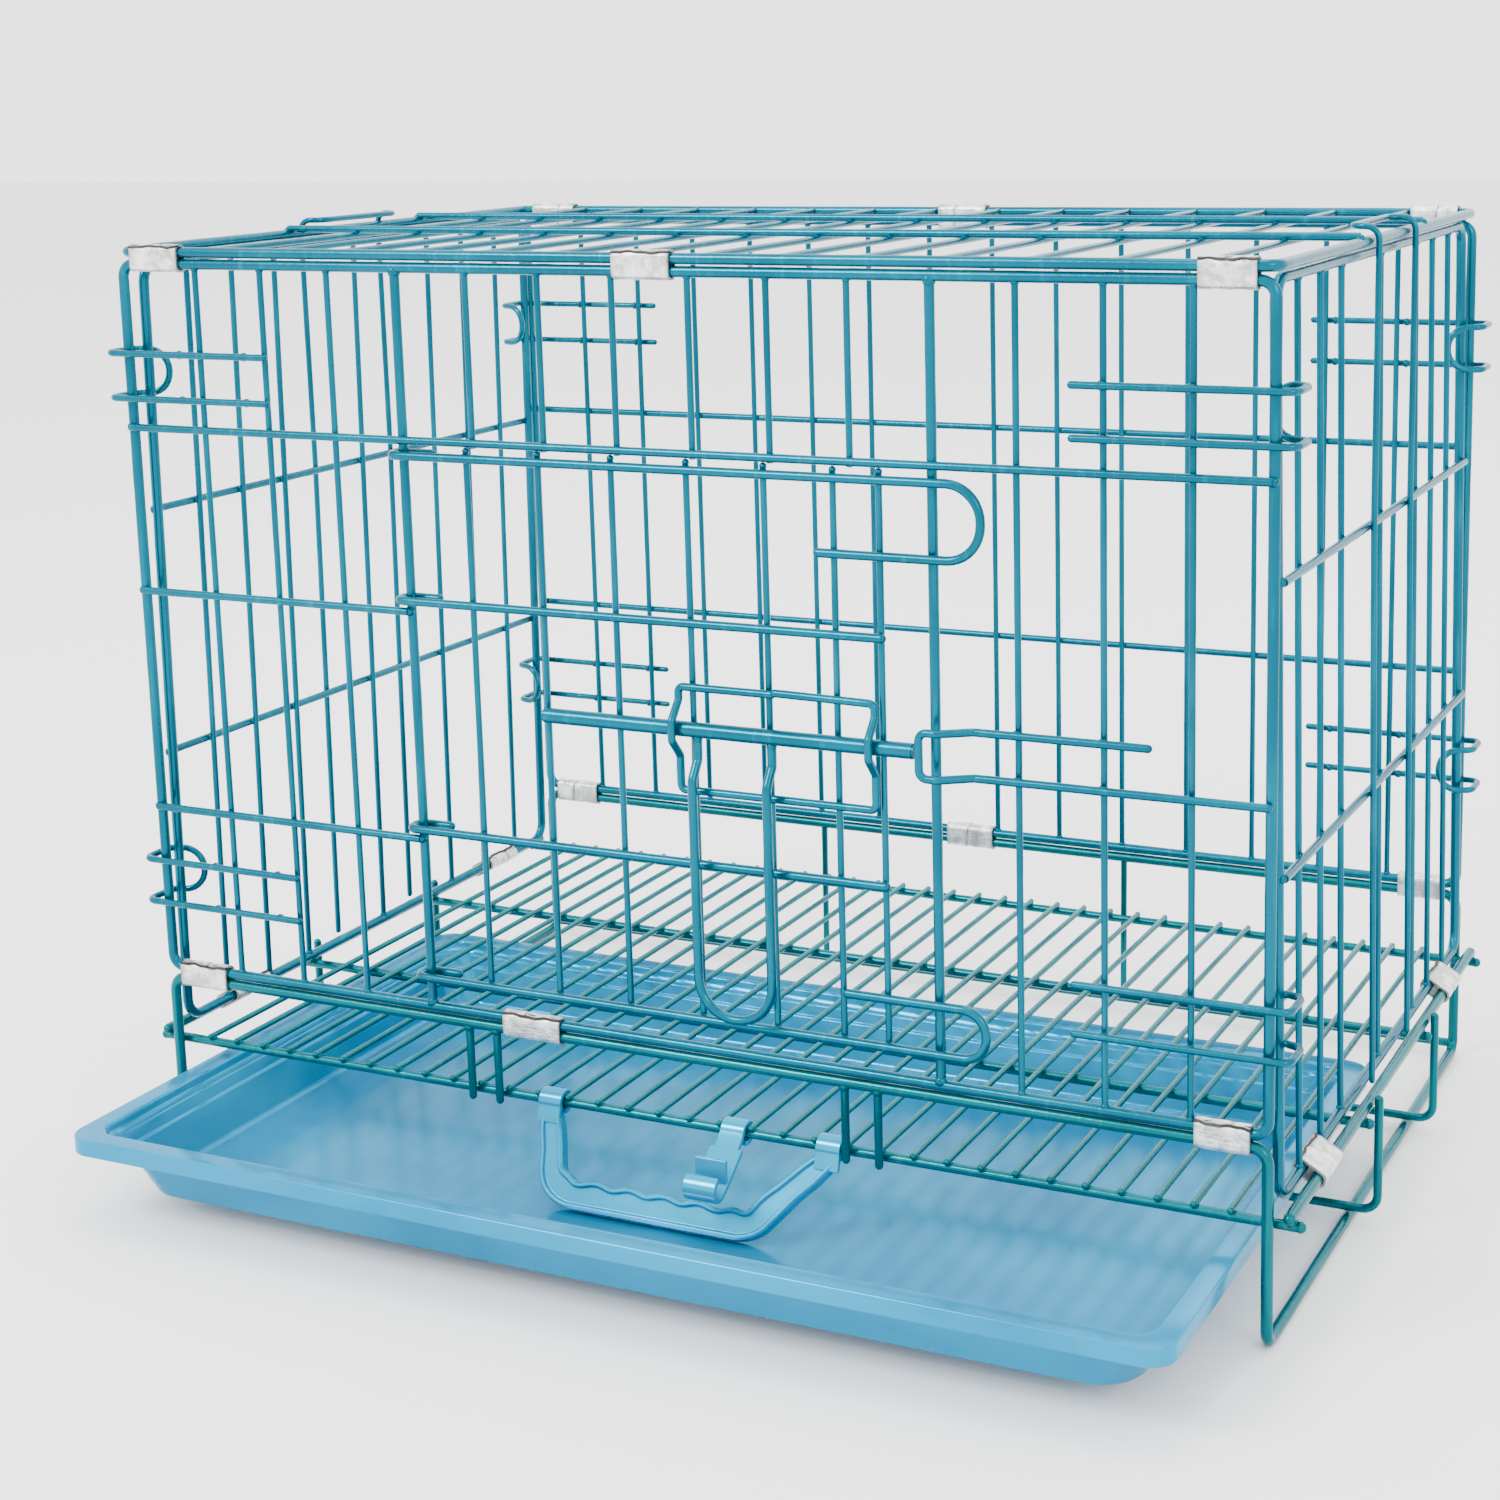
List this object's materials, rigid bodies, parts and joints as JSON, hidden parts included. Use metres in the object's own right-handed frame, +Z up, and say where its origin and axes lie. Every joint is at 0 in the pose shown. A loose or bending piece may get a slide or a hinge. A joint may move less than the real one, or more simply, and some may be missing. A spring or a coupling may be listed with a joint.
{
  "type": "wire rabbit cage",
  "caption": "Folding wire cage for a small animal, with a bolted door, hinged sides, wire floor, carry handle and pull-out tray.",
  "frame": {"origin": "on the floor, under the middle of the box round the cage and its partly drawn tray", "axes": "+X to the right of the front panel, +Y from the door to the back, +Z up"},
  "size_m": [0.4964, 0.3856, 0.3826],
  "materials": {
    "painted_wire": "glossy dipped coating, uneven over the welds",
    "clip_steel": "bright galvanised strip, crimped",
    "tray_plastic": "glossy moulded polypropylene",
    "handle_plastic": "glossy moulded polypropylene"
  },
  "bodies": {
    "cage": {"back_panel": "painted_wire", "base_frame": "painted_wire", "bolt_catch": "painted_wire", "clip_back_base_left": "clip_steel", "clip_back_base_middle": "clip_steel", "clip_back_base_right": "clip_steel", "clip_back_top_left": "clip_steel", "clip_back_top_middle": "clip_steel", "clip_back_top_right": "clip_steel", "clip_front_base_left": "clip_steel", "clip_front_base_middle": "clip_steel", "clip_front_base_right": "clip_steel", "clip_front_top_left": "clip_steel", "clip_front_top_middle": "clip_steel", "clip_front_top_right": "clip_steel", "clip_left_back": "clip_steel", "clip_left_front": "clip_steel", "clip_right_back": "clip_steel", "clip_right_front": "clip_steel", "floor_grate": "painted_wire", "front_panel": "painted_wire", "hook_back_left_lower": "painted_wire", "hook_back_left_upper": "painted_wire", "hook_back_right_lower": "painted_wire", "hook_back_right_upper": "painted_wire", "hook_front_left_lower": "painted_wire", "hook_front_left_upper": "painted_wire", "hook_front_right_lower": "painted_wire", "hook_front_right_upper": "painted_wire", "top_panel": "painted_wire", "tray_guide_back": "painted_wire", "tray_guide_front": "painted_wire"},
    "left_side": {"left_side_panel": "painted_wire", "left_lock_loop": "painted_wire"},
    "right_side": {"right_side_panel": "painted_wire", "right_lock_loop": "painted_wire"},
    "door": {"door_panel": "painted_wire", "latch_bracket": "painted_wire"},
    "bolt": {"latch_bolt": "painted_wire"},
    "pull": {"latch_handle": "painted_wire"},
    "pan": {"tray": "tray_plastic"},
    "grip": {"carry_handle": "handle_plastic"},
    "buckle": {"tray_buckle": "handle_plastic"}
  },
  "joints": [
    {"name": "left_side_fold", "type": "hinge", "parent": "cage", "child": "left_side", "pos_m": [-0.2365, 0.03818, 0.0529], "axis": [0, 1, 0], "range_deg": [0, 89], "deforming": ["left_lock_loop"]},
    {"name": "right_side_fold", "type": "hinge", "parent": "cage", "child": "right_side", "pos_m": [0.2365, 0.03818, 0.0529], "axis": [0, -1, 0], "range_deg": [0, 85], "deforming": ["right_lock_loop"]},
    {"name": "door_hinge", "type": "hinge", "parent": "cage", "child": "door", "pos_m": [-0.1057, -0.11132, 0.2442], "axis": [0, 0, -1], "range_deg": [0, 150]},
    {"name": "bolt_slide", "type": "slide", "parent": "door", "child": "bolt", "axis": [1, 0, 0], "range_m": [-0.004, 0.037]},
    {"name": "pull_turn", "type": "hinge", "parent": "bolt", "child": "pull", "pos_m": [-0.044, -0.11747, 0.205], "axis": [-1, 0, 0], "range_deg": [0, 85]},
    {"name": "tray_slide", "type": "slide", "parent": "cage", "child": "pan", "axis": [0, -1, 0], "range_m": [-0.036, 0.165]},
    {"name": "handle_swing", "type": "hinge", "parent": "cage", "child": "grip", "pos_m": [0, -0.10682, 0.046], "axis": [-1, 0, 0], "range_deg": [0, 85]},
    {"name": "buckle_swing", "type": "hinge", "parent": "cage", "child": "buckle", "pos_m": [0, -0.10682, 0.046], "axis": [-1, 0, 0], "range_deg": [0, 85]}
  ],
  "couplings": [
    {"joint": "buckle_swing", "follows": "handle_swing", "ratio": 1}
  ]
}
